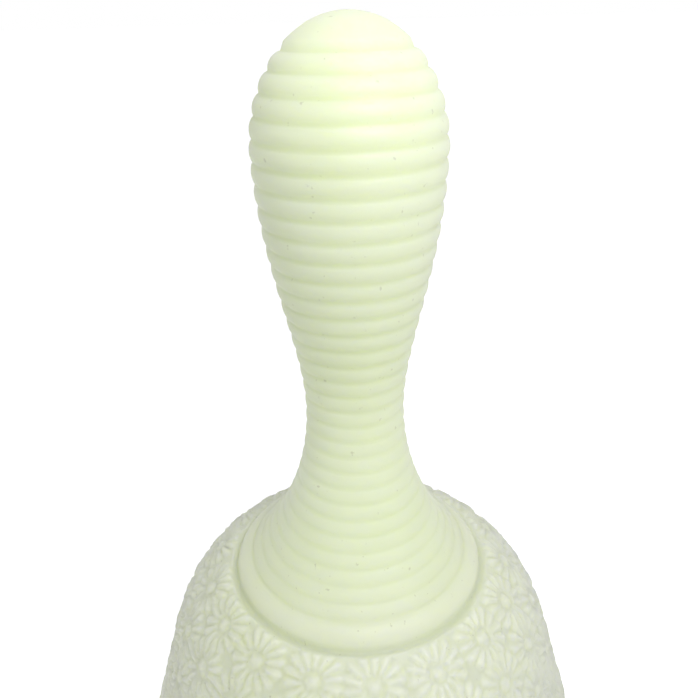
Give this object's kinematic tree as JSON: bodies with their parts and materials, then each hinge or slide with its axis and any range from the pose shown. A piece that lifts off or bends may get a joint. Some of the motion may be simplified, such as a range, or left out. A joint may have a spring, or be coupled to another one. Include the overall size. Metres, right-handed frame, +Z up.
{
  "type": "glass hand bell",
  "caption": "Satin glass hand bell with a ribbed bulb handle, a flared skirt, and a faceted bead clapper on a chain of oval links.",
  "frame": {"origin": "centre of the plane that the rim stands on", "axes": "+Z up the handle along the bell's axis; the cemented eye lies in the XZ plane"},
  "size_m": [0.1096, 0.1095, 0.16],
  "materials": {
    "satin_glass": "acid-etched satin",
    "cement": "matt white cement",
    "brass_wire": "drawn wire",
    "brass_chain": "soldered links",
    "brass_cup": "stamped cups",
    "bead_glass": "polished facets"
  },
  "bodies": {
    "bell": {"glass_bell": "satin_glass", "anchor_cement": "cement", "hanger_eye": "brass_wire"},
    "link_1": {"chain_link_1": "brass_chain"},
    "link_2": {"chain_link_2": "brass_chain"},
    "link_3": {"chain_link_3": "brass_chain"},
    "link_4": {"chain_link_4": "brass_chain"},
    "link_5": {"chain_link_5": "brass_chain"},
    "clapper": {"clapper_pin": "brass_wire", "clapper_upper_cup": "brass_cup", "clapper_lower_cup": "brass_cup"},
    "bead": {"clapper_bead": "bead_glass"}
  },
  "joints": [
    {"name": "link_1_swing", "type": "hinge", "parent": "bell", "child": "link_1", "pos_m": [0, 0, 0.0582], "axis": [1, 0, 0], "range_deg": [-50, 50]},
    {"name": "link_2_swing", "type": "hinge", "parent": "link_1", "child": "link_2", "pos_m": [0, 0, 0.05342], "axis": [0, 1, 0], "range_deg": [-60, 60]},
    {"name": "link_3_swing", "type": "hinge", "parent": "link_2", "child": "link_3", "pos_m": [0, 0, 0.04864], "axis": [-1, 0, 0], "range_deg": [-60, 60]},
    {"name": "link_4_swing", "type": "hinge", "parent": "link_3", "child": "link_4", "pos_m": [0, 0, 0.04386], "axis": [0, -1, 0], "range_deg": [-60, 60]},
    {"name": "link_5_swing", "type": "hinge", "parent": "link_4", "child": "link_5", "pos_m": [0, 0, 0.03908], "axis": [1, 0, 0], "range_deg": [-60, 60]},
    {"name": "clapper_swing", "type": "hinge", "parent": "link_5", "child": "clapper", "pos_m": [0, 0, 0.0343], "axis": [0, 1, 0], "range_deg": [-60, 60]},
    {"name": "bead_spin", "type": "hinge", "parent": "clapper", "child": "bead", "pos_m": [0, 0, 0.0211], "axis": [0, 0, 1], "continuous": true}
  ]
}
